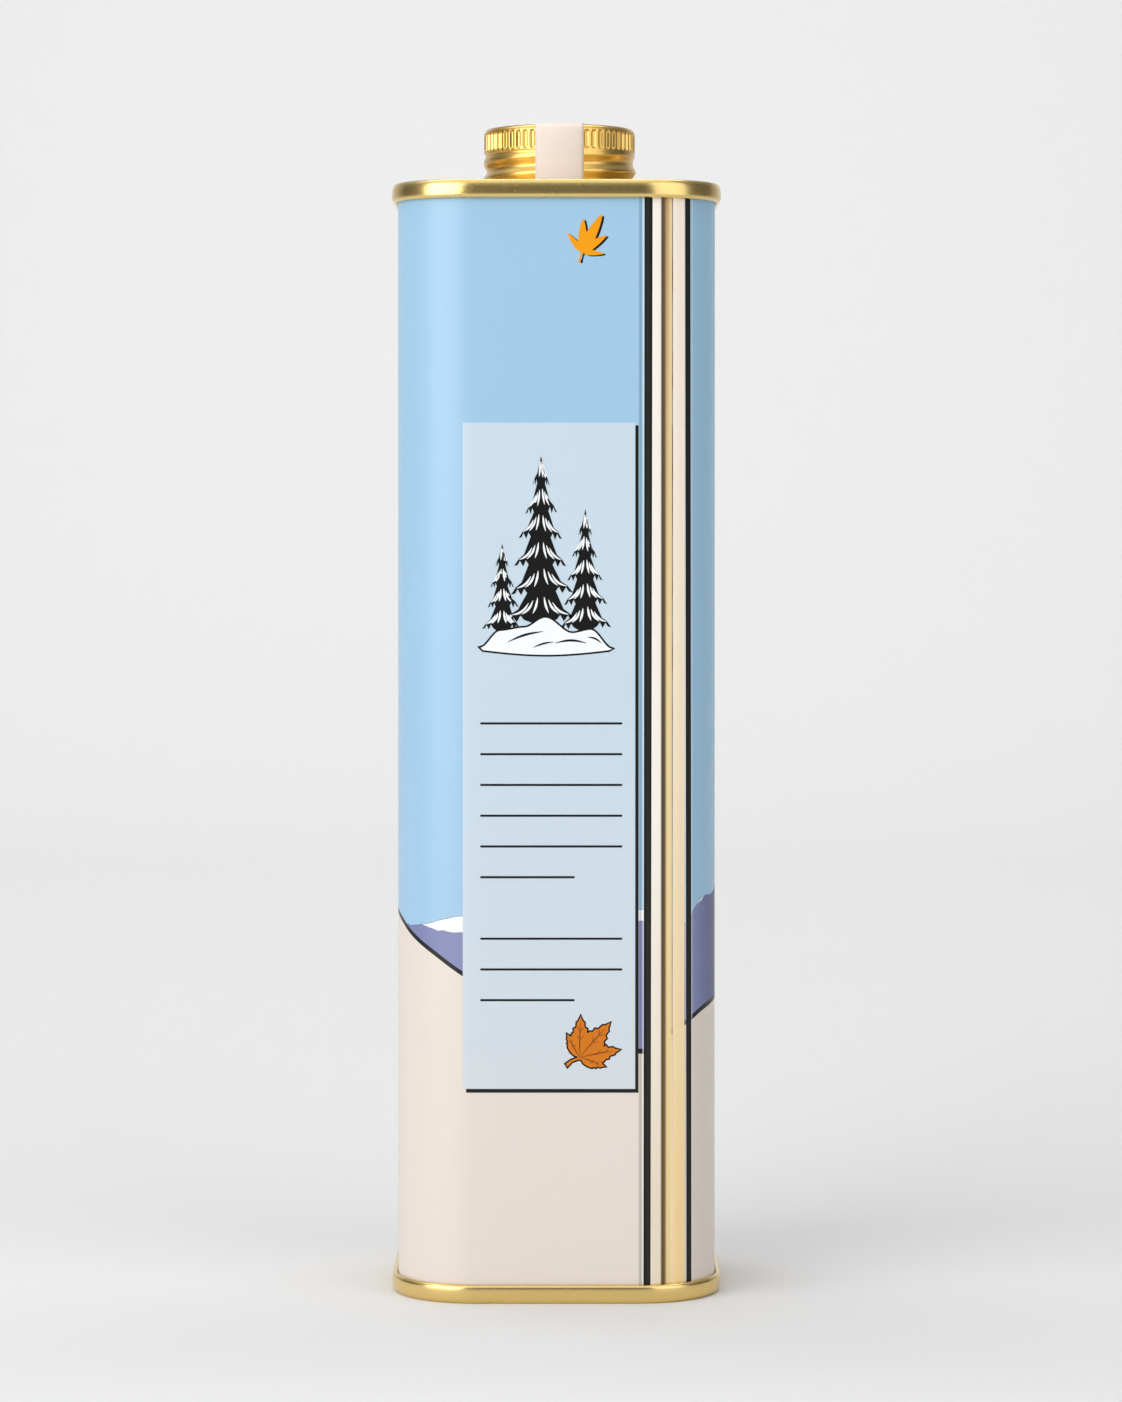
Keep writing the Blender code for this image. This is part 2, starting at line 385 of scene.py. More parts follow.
def thread_wave(angle, z):
    """How far the rolled thread stands out at this place; it is deepest near the cap's open end."""
    wave = math.cos(2 * math.pi * ((z - CREST) / PITCH - angle / (2 * math.pi)))
    height = WAVE_UPPER + WAVE_MORE * min(1.0, max(0.0, (WAVE_TOP - z) / WAVE_GROWS))
    upper = min(1.0, max(0.0, (FLUTE_LOW - 0.1 - z) / 0.6))
    lower = min(1.0, max(0.0, (z - CAP_BOTTOM) / 0.8))
    return (height * wave - WAVE_MEAN) * upper * lower


def cap_wall_profile():
    profile = [(r, CAP_TOP - 0.25) for r in (0.02, 4.0, 8.0, 11.2)]
    profile += [(11.9, CAP_TOP - 0.2), (12.3, CAP_TOP - 0.05), (12.6, CAP_TOP)]
    profile += reversed(arc((CAP_RADIUS - SHOULDER, CAP_TOP - SHOULDER), SHOULDER, 0, 88, 10))
    wall_top = CAP_TOP - SHOULDER
    wall = CAP_BOTTOM - wall_top
    profile += [(CAP_RADIUS, wall_top + wall * row / WALL_ROWS) for row in range(1, WALL_ROWS + 1)]
    profile += [(CAP_RADIUS - 0.15, CAP_BOTTOM - 0.12), (CAP_RADIUS - 0.5, CAP_BOTTOM - 0.15)]
    profile += [(CAP_RADIUS - 0.8, CAP_BOTTOM + 0.1), (CAP_RADIUS - 0.9, CAP_BOTTOM + 0.6)]
    return profile


def cap_relief(radius, angle, z):
    if radius < CAP_RADIUS - 0.2:
        return 0.0
    return thread_wave(angle, z) - flute_dent(angle, z)


def build_cap():
    rings = turned(cap_wall_profile(), FLUTES * COLUMNS_PER_FLUTE, cap_relief)
    rings = [list(reversed(ring)) for ring in rings]
    piece = make_piece("rolled_cap", *skin(rings), "cap_gold", 50)
    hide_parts("screw_cap")
    print("cap:", len(piece.data.polygons), "faces")
    return piece


cap = build_cap()

# %% [markdown]
# ## The paper seal
# A strip of thin paper is glued over the cap and down to the lid, front and back. Paper bends one way
# only, so it follows the cap's round wall across and its path along. It is a grid pushed onto that path,
# with a few faint creases, and Solidify gives it the thickness of paper.

# %% Seal
SEAL_WIDTH = (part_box("seal_strip")[1][0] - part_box("seal_strip")[0][0]) / MM
PAPER = 0.14
SIDE_GAP, SIDE_LEAN, TOP_GAP = 0.40, 0.22, 0.16  # the paper's middle to the cap's wall and top
CREASE = 0.05
SEAL_COLUMNS = 14
LID_FLOOR = TIN_TOP - PANEL_DROP


def seal_path():
    """(radius, height, part) from the front foot over the cap's top; part is 0 at the lid, 1 on top."""
    side = CAP_RADIUS + SIDE_GAP
    path = [(side + 0.7 + 3.6 * (1 - t), LID_FLOOR + 0.45) for t in (0, 0.25, 0.5, 0.75, 1)]
    path += reversed(arc((side + 0.7, LID_FLOOR + 1.15), 0.7, 180, 262, 6))
    path += [(side - SIDE_LEAN * t, LID_FLOOR + 1.3 + 9.6 * t) for t in (0.05, 0.15, 0.3, 0.45, 0.6, 0.75, 0.9, 1)]
    over = SHOULDER + TOP_GAP
    path += arc((CAP_RADIUS - SHOULDER - 0.04, CAP_TOP - SHOULDER), over, 4, 90, 9)
    path += [(r, CAP_TOP + TOP_GAP) for r in (11.5, 9.5, 7, 4.5, 2)]
    return path


def build_seal():
    half = seal_path()
    whole = [(-r, z) for r, z in half] + [(0, CAP_TOP + TOP_GAP)] + list(reversed(half))
    across = SEAL_COLUMNS
    points, faces = [], []
    for row, (y, z) in enumerate(whole):
        for column in range(across + 1):
            x = SEAL_WIDTH * (column / across - 0.5)
            sag = (CAP_RADIUS - math.sqrt(CAP_RADIUS**2 - x**2)) * y / CAP_RADIUS
            crease = CREASE * math.sin(x * 1.3 + z * 0.9) * math.sin(z * 1.7 - x * 0.6 + 1.0)
            lift = crease if LID_FLOOR + 1 < z < CAP_TOP - 1 else 0.0
            points.append((NECK_X + x, y - sag + math.copysign(lift, y), z))
    for row in range(len(whole) - 1):
        for column in range(across):
            a = row * (across + 1) + column
            faces.append((a, a + 1, a + across + 2, a + across + 1))
    piece = make_piece("paper_seal", points, faces, "seal_paper", 80)
    sheet = piece.modifiers.new("paper", "SOLIDIFY")
    sheet.thickness = PAPER * MM
    sheet.offset = 0.0
    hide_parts("seal_strip")
    print("seal:", len(points), "points")
    return piece


seal = build_seal()

# %% [markdown]
# ## Ink on the panel
# A printer lays dark ink last, over the pale panel, and it stands up by about a hundredth of a millimetre.
# So small drawings are made as what they are: thin films of ink with a sharp edge, cut from outlines in
# the plane of the front wall. A curve with its inside filled does the cutting, and films lie on each
# other in the order of printing. Shader masks could draw them too, but not with edges this crisp.

# %% Ink films
INK_LAYER = 0.014
FRONT = -HALF_DEPTH


def ink_film(name, outlines, layer):
    """A film of ink over the outlines, which are lists of (x, z) places on the front wall."""
    curve = bpy.data.curves.new(name, "CURVE")
    curve.dimensions = "2D"
    curve.fill_mode = "BOTH"
    curve.extrude = INK_LAYER / 2
    for outline in outlines:
        line = curve.splines.new("POLY")
        line.points.add(len(outline) - 1)
        for point, (x, z) in zip(line.points, outline):
            point.co = (x, z, 0.0, 1.0)
        line.use_cyclic_u = True
    cutter = bpy.data.objects.new(name, curve)
    mesh = bpy.data.meshes.new_from_object(cutter)
    middle = FRONT - INK_LAYER * (layer + 0.4)
    points = [(v.co.x, middle - v.co.z, v.co.y) for v in mesh.vertices]
    faces = [tuple(face.vertices) for face in mesh.polygons]
    bpy.data.objects.remove(cutter)
    bpy.data.curves.remove(curve)
    bpy.data.meshes.remove(mesh)
    return make_piece(name, points, faces, "printed_tinplate", 30)


def grow(outline, by):
    """The outline moved outwards by a small distance, with short corners."""
    count = len(outline)
    turning = sum(a[0] * b[1] - b[0] * a[1] for a, b in zip(outline, outline[1:] + outline[:1]))
    side = 1 if turning > 0 else -1
    grown = []
    for index, here in enumerate(outline):
        before = Vector(here) - Vector(outline[index - 1])
        after = Vector(outline[(index + 1) % count]) - Vector(here)
        normal = Vector((before.y, -before.x)).normalized() + Vector((after.y, -after.x)).normalized()
        length = max(normal.length, 0.9)
        grown.append(tuple(Vector(here) + side * normal * (2 * by / length**2)))
    return grown


def ink_border(name, outline, width, layer):
    """A border of ink round an outline, as a closed strip of faces."""
    level = FRONT - INK_LAYER * (layer + 0.9)
    count = len(outline)
    points = [(x, level, z) for x, z in grow(outline, width) + grow(outline, -0.05)]
    faces = [(a, (a + 1) % count, count + (a + 1) % count, count + a) for a in range(count)]
    return make_piece(name, points, faces, "printed_tinplate", 30)


def stroke(start, end, width, sag=0.0, steps=10):
    """A brush stroke: thin at both ends, with a sideways bow."""
    start, end = Vector(start), Vector(end)
    along = (end - start).normalized()
    aside = Vector((-along.y, along.x))
    upper, lower = [], []
    for step in range(steps + 1):
        share = step / steps
        middle = start.lerp(end, share) + aside * (sag * math.sin(math.pi * share))
        half = width / 2 * math.sin(math.pi * min(max(share, 0.04), 0.96)) ** 0.7
        upper.append(tuple(middle + aside * half))
        lower.append(tuple(middle - aside * half))
    return upper + lower[::-1]


# %% [markdown]
# ## Winter spruces
# The drawing on the panel is a group of spruces in snow, cut like a woodcut. A spruce is the same tier
# repeated, each wider than the one above: a branch that droops to a tip, with a few teeth below it. So
# one function makes any spruce from its place, height and width, and another lays the strokes of snow
# on its branches. A seeded shake keeps the tiers from looking stamped.

# %% Spruces
shake = random.Random(11)
# each spruce: middle, foot, top, half its width, number of tiers
SPRUCES = ((-2.8, 124.0, 153.2, 6.6, 6), (5.2, 122.6, 143.6, 4.7, 5), (-9.8, 122.4, 137.4, 3.5, 4))
# a branch's tip and the teeth below it: (share of the branch's reach, rise as a share of the tier)
TEETH = ((1, -0.10), (0.86, -0.06), (0.78, 0.10), (0.66, -0.12), (0.56, 0.12))


def spruce(middle, foot, top, half, tiers):
    """A spruce's outline, and the snow strokes on it."""
    right, left, snow = [], [], []
    drop = (top - foot) / tiers
    for side, line in ((1, right), (-1, left)):
        core = 0.15
        for tier in range(tiers):
            share = ((tier + 1) / tiers) ** 0.8
            reach = half * share * (1 + shake.uniform(-0.07, 0.07))
            tip = top - drop * (tier + 1.0) + shake.uniform(-0.05, 0.05) * drop
            upper = top - drop * tier
            line.append((middle + side * (core + 0.40 * (reach - core)), (upper + 2 * tip) / 3))
            line.append((middle + side * (core + 0.72 * (reach - core)), (upper + 5 * tip) / 6))
            for reach_share, rise in TEETH:
                line.append((middle + side * reach * reach_share, tip + rise * drop))
            core = reach * 0.46
            line.append((middle + side * core, tip - 0.04 * drop))
            for across in (0.22, 0.52, 0.80):
                if side * across > -0.3 or tier > 0:
                    high = (middle + side * across * reach * 0.42, tip + drop * (0.86 - 0.34 * across))
                    low = (middle + side * across * reach, tip + drop * (0.22 - 0.10 * across))
                    snow.append(stroke(high, low, 0.30 + 0.12 * share, -side * 0.10 * reach * across))
    trunk = [(middle + 0.35, foot - 1.4), (middle - 0.35, foot - 1.4)]
    return [(middle, top)] + right + trunk + left[::-1], snow


def hill(spots, low):
    """A closed outline under a smooth line through the spots, down to the low height."""
    line = []
    for index in range(len(spots) - 1):
        (x0, z0), (x1, z1) = spots[index], spots[index + 1]
        for step in range(8):
            share = step / 8
            ease = share * share * (3 - 2 * share)
            line.append((x0 + (x1 - x0) * share, z0 + (z1 - z0) * ease))
    line.append(spots[-1])
    start, width = spots[0][0], spots[-1][0] - spots[0][0]
    bottom = [(x, low - 0.9 * math.sin(math.pi * (x - start) / width)) for x, _ in line]
    return line + bottom[::-1][1:-1]


def draw_spruces():
    trees = [spruce(*measures) for measures in SPRUCES]
    spots = (
        (-13.7, 118.6), (-10.2, 121.6), (-5.8, 122.2), (-2.0, 124.0),
        (2.8, 121.2), (6.2, 121.8), (10.0, 118.4),
    )
    drift = hill(spots, 118.2)
    fold_lines = [stroke((-8.8, 119.6), (-2.4, 121.5), 0.42, 0.35), stroke((-0.2, 119.4), (5.4, 119.4), 0.42, 0.5)]
    fold_lines += [stroke((-4.2, 118.6), (-0.6, 119.6), 0.34, 0.2), stroke((5.6, 120.5), (8.1, 119.4), 0.34, 0.3)]
    ground = ink_film("print_drift_edge", [grow(drift, 0.34)], 0)
    dark = ink_film("print_spruces", [outline for outline, _ in trees], 1)
    snow = ink_film("print_tree_snow", [line for _, snow in trees for line in snow], 2)
    drift_snow = ink_film("print_drift", [drift], 2)
    folds = ink_film("print_drift_folds", fold_lines, 3)
    return (ground, dark, folds), (snow, drift_snow)


dark_ink, white_ink = draw_spruces()
print("spruces:", sum(len(piece.data.polygons) for piece in dark_ink + white_ink), "faces")

# %% [markdown]
# ## Ruled lines
# Below the drawing the panel carries lines to write on, as a gift tag does: six and then three, with a
# wider space between the two groups, and the last line of each group shorter.

# %% Lines to write on
LINE_LEFT, LINE_RIGHT, LINE_WEIGHT = -13.7, 11.8, 0.4
FIRST_LINE, LINE_STEP = 104.9, 5.56
SHORT_BY, LINE_TIP = 8.6, 0.12


def draw_lines():
    bars = []
    for row in (0, 1, 2, 3, 4, 5, 7, 8, 9):
        z = FIRST_LINE - LINE_STEP * row
        low, high = z - LINE_WEIGHT / 2, z + LINE_WEIGHT / 2
        end = LINE_RIGHT - (SHORT_BY if row in (5, 9) else 0)
        left_tip = [(LINE_LEFT, high), (LINE_LEFT - LINE_TIP, z), (LINE_LEFT, low)]
        right_tip = [(end, low), (end + LINE_TIP, z), (end, high)]
        bars.append(left_tip + right_tip)
    print("ruled lines:", len(bars))
    return ink_film("print_lines", bars, 0)


ruled_lines = draw_lines()

# %% [markdown]
# ## Leaves
# A maple leaf is a few lobes on one stalk, and each lobe is a tip with a pair of teeth on its sides. A
# lobe's shape is written once, along and across its own middle line, and is then turned and stretched
# into each place. The lower leaf has fine teeth, a dark edge and veins. The upper one is plainer, with
# slim lobes and a black shade of itself printed a little to its right.

# %% Maple leaves
TOOTHED = (
    (0, 1.0), (3, 0.88), (6, 0.85), (7, 0.76), (9, 0.72),
    (13, 0.71), (14.5, 0.62), (20, 0.60), (30, 0.42), (42, 0.22),
)
SLIM = ((0, 1.0), (2, 0.95), (6, 0.77), (10, 0.62), (14, 0.50), (20, 0.38), (32, 0.2))


def spread_at(lobe, degrees):
    """A lobe's reach at an angle from its middle, between the marks of its shape."""
    for (a, reach_a), (b, reach_b) in zip(lobe, lobe[1:]):
        if a <= degrees <= b:
            return reach_a + (reach_b - reach_a) * (degrees - a) / (b - a)
    return 0.0


def stalk_sides(base, heading, length, width, bow):
    """The two sides of a stalk that leaves the base in that heading: out along one, back along the other."""
    ahead = Vector((math.cos(heading), math.sin(heading)))
    aside = Vector((-ahead.y, ahead.x))
    sides = []
    for side in (-1, 1):
        marks = ((0.35, 0.75, 0), (0.6 * length, 0.7, bow), (length, 1.2, 0.4 * bow))
        sides.append([tuple(Vector(base) + ahead * d + aside * (b + side * width * w / 2)) for d, w, b in marks])
    return sides[0] + sides[1][::-1]


def maple_leaf(base, tilt, size, shape, lobes, stalk):
    """Outline and vein strokes of a leaf whose stalk meets it at the base; tilt turns it clockwise."""
    stalk_turn, stalk_length, stalk_width, bow = stalk
    turns = set(range(stalk_turn - 328, stalk_turn - 32, 4))
    for turn, _ in lobes:
        turns.update(turn + side * mark for mark, _ in shape for side in (-1, 1))
    outline = []
    for turn in sorted(turns):
        reach = 0.05
        for middle, length in lobes:
            away = abs((turn - middle + 180) % 360 - 180)
            reach = max(reach, length * spread_at(shape, away))
        angle = math.radians(90 - tilt + turn)
        outline.append((base[0] + size * reach * math.cos(angle), base[1] + size * reach * math.sin(angle)))
    outline += stalk_sides(base, math.radians(90 - tilt + stalk_turn), stalk_length, stalk_width, bow)
    veins = []
    for turn, length in lobes:
        angle = math.radians(90 - tilt + turn)
        ahead = Vector((math.cos(angle), math.sin(angle))) * size * length
        veins.append(stroke(base, Vector(base) + ahead * 0.84, 0.19, 0.1))
        for share in (0.42, 0.62):
            for side in (-1, 1):
                fork = Vector((math.cos(angle + side * 0.6), math.sin(angle + side * 0.6))) * size * length
                start = Vector(base) + ahead * share
                veins.append(stroke(start, start + fork * 0.15, 0.12))
    return outline, veins


def draw_leaves():
    lobes = ((-69, 0.58), (-38, 0.88), (0, 1.0), (40, 0.90), (70, 0.58))
    outline, veins = maple_leaf((4.25, 44.5), 41, 8.3, TOOTHED, lobes, (164, 2.8, 0.5, -0.3))
    edge = ink_border("print_leaf_edge", outline, 0.28, 0)
    fill = ink_film("print_leaf", [outline], 1)
    lines = ink_film("print_leaf_veins", veins, 2)
    slim_lobes = ((-67, 0.52), (-28, 0.70), (0, 1.0), (26, 0.79), (66, 0.56))
    small, _ = maple_leaf((4.6, 190.0), 28, 7.6, SLIM, slim_lobes, (192, 1.9, 0.42, 0.0))
    shade = ink_film("print_small_leaf_shade", [[(x + 0.40, z - 0.20) for x, z in small]], 0)
    small_fill = ink_film("print_small_leaf", [small], 1)
    return edge, fill, lines, shade, small_fill


leaf_edge, leaf_fill, leaf_veins, small_shade, small_fill = draw_leaves()
print("leaves:", sum(len(piece.data.polygons) for piece in (leaf_fill, leaf_veins, small_fill)), "faces")

# %% [markdown]
# ## Reckoning with sockets
# Every finish below is a sum of masks and colours. Written as nodes, such sums get long, so one small
# class wraps a node's output and lets Python's own signs add the Math nodes. Any other node comes from
# its `node` method, which puts the settings on first and then the values or links.


# %% Wire
class Wire:
    """One output in a material's node tree, for use in Python sums."""

    def __init__(self, tree, socket=None):
        self.tree = tree
        self.socket = socket

    def node(self, kind, settings=None, sockets=None, output=0):
        made = self.tree.nodes.new(kind)
        for name, value in (settings or {}).items():
            if name == "curve":
                self.bend(made.mapping, value)
            else:
                setattr(made, name, value)
        for name, value in (sockets or {}).items():
            if isinstance(value, Wire):
                self.tree.links.new(value.socket, made.inputs[name])
            else:
                made.inputs[name].default_value = value
        return Wire(self.tree, made.outputs[output])

    def bend(self, mapping, marks):
        """Put (across, height) marks on a curve node's line."""
        points = mapping.curves[0].points
        for index, mark in enumerate(marks):
            point = points[index] if index < 2 else points.new(*mark)
            point.location = mark
        mapping.update()

    def math(self, operation, *values, clamp=False):
        settings = {"operation": operation, "use_clamp": clamp}
        return self.node("ShaderNodeMath", settings, dict(enumerate(values)))

    def __add__(self, other):
        return self.math("ADD", self, other)

    def __sub__(self, other):
        return self.math("SUBTRACT", self, other)

    def __rsub__(self, other):
        return self.math("SUBTRACT", other, self)

    def __mul__(self, other):
        return self.math("MULTIPLY", self, other)

    def __truediv__(self, other):
        return self.math("DIVIDE", self, other)

    __radd__ = __add__
    __rmul__ = __mul__

    def clamped(self):
        """This value, kept between 0 and 1."""
        return self.math("ADD", self, 0.0, clamp=True)

    def over(self, limit, soft=0.06):
        """1 where this is more than the limit, 0 where it is less, with an edge that wide."""
        return ((self - limit) / soft + 0.5).clamped()

    def within(self, low, high, soft=0.06):
        return self.over(low, soft) * (1 - self.over(high, soft))

    def blend(self, mask, first, second):
        """The first colour where the mask is 0 and the second where it is 1."""
        sockets = {0: mask, 6: first, 7: second}
        return self.node("ShaderNodeMix", {"data_type": "RGBA"}, sockets, output=2)

    def mix(self, other, mask):
        return self.blend(mask, self, other)


def linear(red, green, blue):
    """A screen colour, 0 to 255, as the shader wants it."""
    parts = []
    for value in (red, green, blue):
        value /= 255
        parts.append(value / 12.92 if value <= 0.04045 else ((value + 0.055) / 1.055) ** 2.4)
    return (*parts, 1.0)


def start_finish(name):
    """A new material with a Principled shader; returns the material, its shader and an empty wire."""
    material = bpy.data.materials.new(name)
    material.use_nodes = True
    tree = material.node_tree
    return material, tree.nodes["Principled BSDF"], Wire(tree)


def connect(shader, **wires):
    """Link wires, or set plain values, on the shader's sockets; names have _ for a space."""
    for name, value in wires.items():
        socket = shader.inputs[name.replace("_", " ")]
        if isinstance(value, Wire):
            value.tree.links.new(value.socket, socket)
        else:
            socket.default_value = value


def noise(wire, size, detail=2.0, roughness=0.5):
    """Soft random grain of about that size in millimetres, 0 to 1."""
    place = wire.node("ShaderNodeTexCoord", output=3)
    sockets = {"Vector": place, "Scale": 1000 / size, "Detail": detail, "Roughness": roughness}
    return wire.node("ShaderNodeTexNoise", {"noise_dimensions": "3D"}, sockets)


def bump(wire, height, depth):
    """A normal from a height, 0 to 1, that stands depth millimetres high."""
    return wire.node("ShaderNodeBump", None, {"Strength": 1.0, "Distance": depth * MM, "Height": height})


# %% [markdown]
# ## The print
# The picture on the sheet is made of flat fields: sky, far hills with snow on them, and a snowfield with
# a bold outline. Each field's edge is a height that changes with the distance round the sheet, so a
# curve through a few marks draws it, and a field is simply where the height is under that curve. The
# pale panel is a rectangle with a black line on two sides. Bands of black, cream and bare gold run up
# beside the seam. All of it is the sheet's one material, laid down in the order a printer would. Painted
# light lies in it as well: painted shade on the hills towards the right corner, a crease's painted shade
# and painted highlight, painted shade in the seam's groove and a painted sheen down the black bands.

# %% Print on the body
BLACK = linear(5, 5, 5)
SKY = linear(150, 187, 213)
CREAM = linear(215, 205, 196)
LILAC = linear(132, 138, 178)
# painted shade: the hills' lilac where it darkens towards the tin's right corner, away from the light
LILAC_PAINTED_SHADE = linear(56, 66, 108)
CAP_SNOW = linear(232, 232, 230)
PANEL = linear(188, 205, 217)
PANEL_FOOT = linear(198, 204, 210)
GOLD = linear(230, 206, 150)
# painted shade on the left wall of the seam's groove
GROOVE_PAINTED_SHADE = linear(80, 60, 38)
HAZE = linear(96, 104, 150)  # a thin darker line along the hills' top
# painted sheen: a lighter black for the middle of the black bands
BLACK_BAND_PAINTED_SHEEN = linear(34, 32, 29)  # the shine along the middle of a black band
# a brown tint for the groove's middle
GROOVE_TOP_BROWN = linear(150, 104, 56)
LAP_SHADE = linear(70, 52, 34)
LINE = 0.92  # thickness of the snowfield's outline

PANEL_LEFT, PANEL_RIGHT, PANEL_LOW, PANEL_HIGH = -16.95, 14.22, 38.8, 159.2
SNOW_EDGE = (
    (21, 49.0), (25.3, 51.2), (27.8, 52.5), (30.7, 53.4), (34.5, 54.2), (48, 58), (66, 67), (90, 58), (112, 55),
    (132, 68), (145, 76), (155.7, 70.5), (160.6, 68.5), (163.1, 67.0), (166.4, 65.1), (169.9, 63.1),
    (172.5, 61.4), (175.1, 59.7), (190, 51.3), (203, 46.3), (208.2, 45.6), (213.2, 46.0),
)
RIDGE = (
    (21, 66.5), (25.4, 69.9), (26.9, 71.8), (28.5, 72.9), (30.7, 73.2), (33.5, 73.6), (44, 82), (54, 90),
    (63, 84), (76, 76), (90, 83), (101, 92), (112, 84), (128, 78), (148, 71), (163.1, 67.8), (166.9, 68.2),
    (175.1, 70.1), (206, 71.2), (213.2, 71.4),
)
SNOWCAP_FOOT = (
    (21, 68.0), (30.7, 74.0), (44, 81.5), (54, 83.5), (63, 83.0), (76, 77), (90, 81.5), (101, 85),
    (112, 83.0), (128, 79), (148, 72), (166.9, 68.2), (175.1, 66.9), (206, 69.2), (213.2, 69.3),
)


def height_line(around, marks):
    """The height in millimetres of a line drawn through (distance round, height) marks."""
    spots = [((s - SEAM) / AROUND, z / TIN_TOP) for s, z in marks]
    curve = around.node("ShaderNodeFloatCurve", {"curve": spots}, {"Value": around})
    return curve * TIN_TOP


def print_body():
    material, shader, wire = start_finish("printed_tinplate")
    sheet = wire.node("ShaderNodeUVMap", {"uv_map": "sheet"})
    around = wire.node("ShaderNodeSeparateXYZ", None, {0: sheet}, output=0)
    up = wire.node("ShaderNodeSeparateXYZ", None, {0: sheet}, output=1)
    z = up * (body_high.z - body_low.z) + body_low.z
    right = around * AROUND  # how far right of the seam
    s = right + (SEAM - AROUND)  # from the middle of the front, up to the seam

    ragged = noise(wire, 2.2, 3.0) - 0.5
    ridge = height_line(around, RIDGE) + ragged * 0.5
    colour = wire.blend((ridge + 0.1 - z).over(0), SKY, HAZE)
    # painted shade: the hills turn darker towards the tin's right corner, where less light reaches
    right_corner_painted_shade = ((right - 4) / 9).clamped() * (1 - s.over(-40, 60))
    colour = colour.mix(wire.blend(right_corner_painted_shade, LILAC, LILAC_PAINTED_SHADE), (ridge - 0.1 - z).over(0))
    snowcap = (ridge - z).over(0) * (z - height_line(around, SNOWCAP_FOOT) - ragged * 1.1).over(0)
    colour = colour.mix(CAP_SNOW, snowcap)
    edge = height_line(around, SNOW_EDGE)
    colour = colour.mix(BLACK, (edge + LINE / 2 - z).over(0))
    colour = colour.mix(CREAM, (edge - LINE / 2 - z).over(0))

    panel_colour = wire.blend(((z - PANEL_LOW) / 60).clamped(), PANEL_FOOT, PANEL)
    shade = s.within(PANEL_LEFT + 0.6, PANEL_RIGHT + 0.6) * z.within(PANEL_LOW - 0.7, PANEL_HIGH - 0.5)
    colour = colour.mix(BLACK, shade)
    colour = colour.mix(panel_colour, s.within(PANEL_LEFT, PANEL_RIGHT) * z.within(PANEL_LOW, PANEL_HIGH))

    # the bands left of the seam, each one laid over the right part of the one before
    lean = (z - 100) * 0.0022  # the bands' edges run a little off the upright
    # painted shade and painted highlight of a shallow crease up the sheet: a faint dark band, then a thin light
    # line
    colour = colour.mix(BLACK, s.within(14.9, 15.4, 0.3) * 0.35)
    colour = colour.mix(CAP_SNOW, s.within(15.55, 15.8) * 0.5)
    colour = colour.mix(BLACK, s.over(lean * 0.4 + 15.8))
    # painted sheen: a lighter strip down the middle of the black band
    colour = colour.mix(BLACK_BAND_PAINTED_SHEEN, s.within(16.15, 16.85, 0.4))
    foot = ((90 - z) / 70).clamped()
    colour = colour.mix(wire.blend(foot, linear(236, 230, 221), linear(222, 211, 190)), s.over(lean * 0.8 + 17.18))
    # painted shade on the groove's left wall, dark brown above and a little lighter towards the bottom
    colour = colour.mix(wire.blend(foot, GROOVE_PAINTED_SHADE, linear(108, 80, 44)), s.over(18.95, 0.25))
    colour = colour.mix(GOLD, s.over(19.92, 0.5))
    # the groove's middle turns brown, more so from halfway up to the top
    colour = colour.mix(GROOVE_TOP_BROWN, s.within(19.6, 20.6, 0.6) * ((z - 110) / 90).clamped() * 0.6)
    # the band right of the seam, cream above and running out to gold below, and its black edge
    run_out = ((150 - z) / 130).clamped()
    band = wire.blend(run_out, linear(248, 236, 218), linear(244, 214, 156))
    colour = colour.mix(band, right.within(0.1, 2.7) * (1 - s.over(0)))
    colour = colour.mix(CAP_SNOW, right.within(2.75, 3.1 - lean) * ((z - 40) / 60).clamped())
    line_right = right + lean
    black_right = line_right.within(3.02, 4.27)
    colour = colour.mix(BLACK, black_right)
    # painted sheen down the middle of the black band right of the seam
    colour = colour.mix(linear(24, 23, 21), line_right.within(3.4, 3.9, 0.4))
    colour = colour.mix(CAP_SNOW, right.within(4.4, 4.65) * 0.4)
    lap_shade = (1 - right.over(0.18)) * (noise(wire, 7.0) + 0.35).clamped()
    lap_shade = lap_shade * (0.1 + 0.9 * ((z - 20) / 110).clamped())
    colour = colour.mix(LAP_SHADE, lap_shade)

    bare = s.within(19.0, 21.0, 0.3)
    mottle = noise(wire, 3.0) - 0.5
    peel = noise(wire, 0.9, 2.0)
    connect(
        shader,
        Base_Color=colour,
        Metallic=bare * 0.2,
        Roughness=0.42 + mottle * 0.05,
        Specular_IOR_Level=0.22,
        Coat_Weight=0.3 - (s.within(15.8, 17.2) + black_right) * 0.22,
        Coat_Roughness=0.24,
        Normal=bump(wire, peel, 0.004),
    )
    return material


body.data.materials.append(print_body())
print("print:", len(body.data.materials[0].node_tree.nodes), "nodes")

# %% [markdown]
# ## Gold
# The ends and the cap are steel and aluminium under a yellow lacquer. A metal shader with the lacquer's
# colour is the plain way to make that. What tells real pressed metal from a toy is that its polish isn't
# even, so grain drives the roughness, and a very low bump breaks up the reflections.


# %% Lacquers
def lacquer(name, colour, worn_colour, roughness, grain):
    material, shader, wire = start_finish(name)
    cloud = noise(wire, 6.0, 3.0)
    fine = noise(wire, grain, 2.0)
    base = wire.blend(cloud, colour, worn_colour)
    connect(
        shader,
        Base_Color=base,
        Metallic=1.0,
        Roughness=roughness + (fine - 0.5) * 0.05 + (cloud - 0.5) * 0.05,
        Coat_Weight=0.3,
        Coat_Roughness=0.12,
        Normal=bump(wire, fine, 0.0007),
    )
    return material


